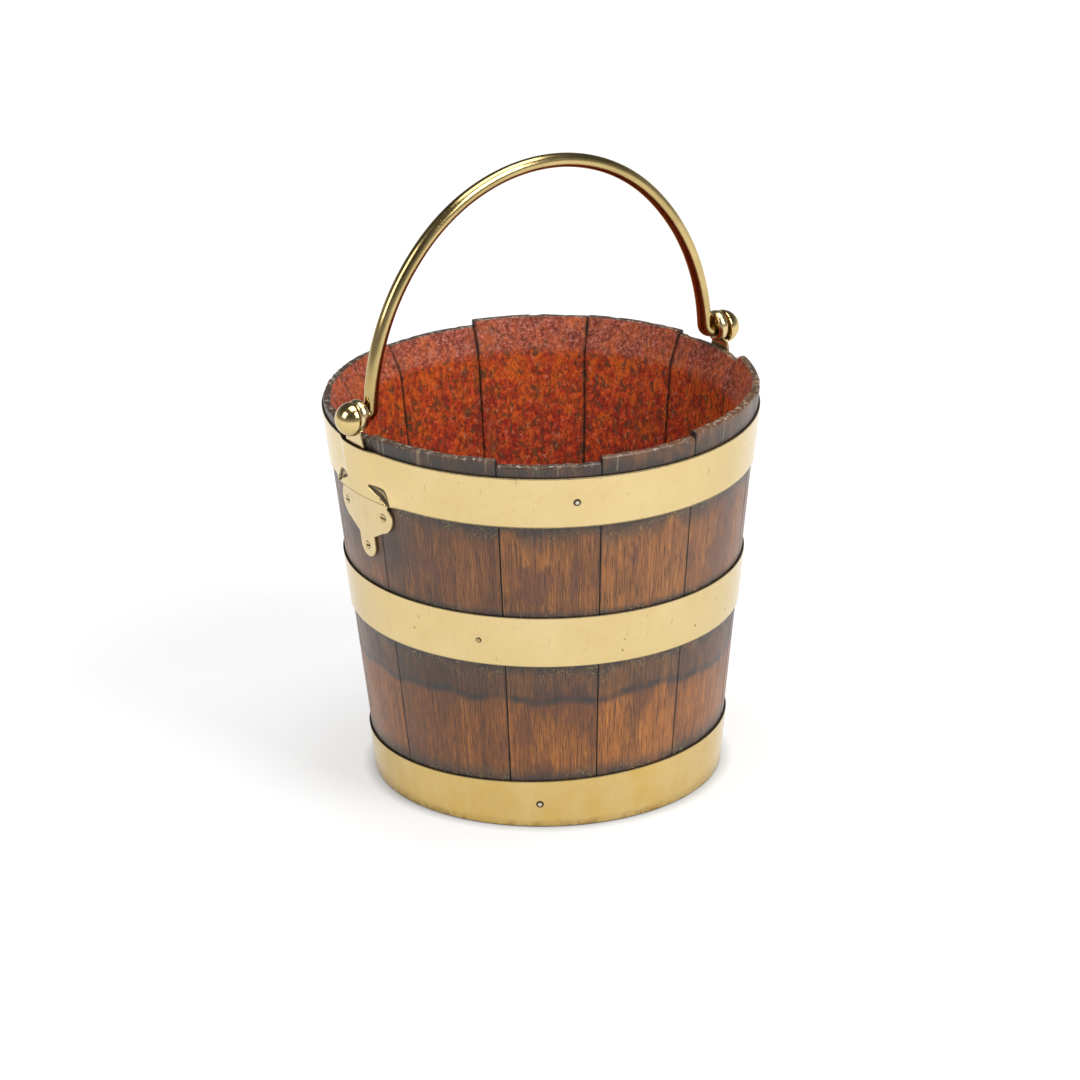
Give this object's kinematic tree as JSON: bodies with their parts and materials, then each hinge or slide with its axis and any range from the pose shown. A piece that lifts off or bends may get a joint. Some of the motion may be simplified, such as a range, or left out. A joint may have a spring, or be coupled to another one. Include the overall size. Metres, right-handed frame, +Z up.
{
  "type": "peat bucket",
  "caption": "Tapered coopered bucket of dark wooden staves bound with brass hoops, with a round brass swing handle hung in two eared brackets, for carrying peat or logs to a hearth.",
  "frame": {"origin": "on the floor, at the middle of the bucket's foot", "axes": "+Z up along the bucket's axis; X along the swing handle's hinge line, with the right ear at +X; -Y is the front"},
  "size_m": [0.395, 0.3613, 0.5311],
  "materials": {
    "stave_oak": "waxed dark oak outside, worn red paint inside",
    "base_wood": "worn red paint over old oak",
    "hoop_brass": "polished brass strip with fine scratches",
    "ear_brass": "polished cast brass",
    "bail_brass": "handled brass with brown patina",
    "fastener_brass": "dull brass heads with dark edges"
  },
  "bodies": {
    "bucket": {"stave_01": "stave_oak", "stave_02": "stave_oak", "stave_03": "stave_oak", "stave_04": "stave_oak", "stave_05": "stave_oak", "stave_06": "stave_oak", "stave_07": "stave_oak", "stave_08": "stave_oak", "stave_09": "stave_oak", "stave_10": "stave_oak", "stave_11": "stave_oak", "stave_12": "stave_oak", "base_board_1": "base_wood", "base_board_2": "base_wood", "base_board_3": "base_wood", "base_dowels": "base_wood", "top_hoop": "hoop_brass", "middle_hoop": "hoop_brass", "base_hoop": "hoop_brass", "top_hoop_nails": "fastener_brass", "middle_hoop_nails": "fastener_brass", "base_hoop_nails": "fastener_brass", "top_hoop_rivets": "fastener_brass", "middle_hoop_rivets": "fastener_brass", "base_hoop_rivets": "fastener_brass", "ear_left": "ear_brass", "ear_right": "ear_brass", "ear_left_screws": "fastener_brass", "ear_right_screws": "fastener_brass"},
    "bail": {"bail": "bail_brass", "bail_cap_left": "bail_brass", "bail_cap_right": "bail_brass"}
  },
  "joints": [
    {"name": "bail_swing", "type": "hinge", "parent": "bucket", "child": "bail", "pos_m": [0, 0, 0.34495], "axis": [1, 0, 0], "range_deg": [-92, 89]}
  ]
}
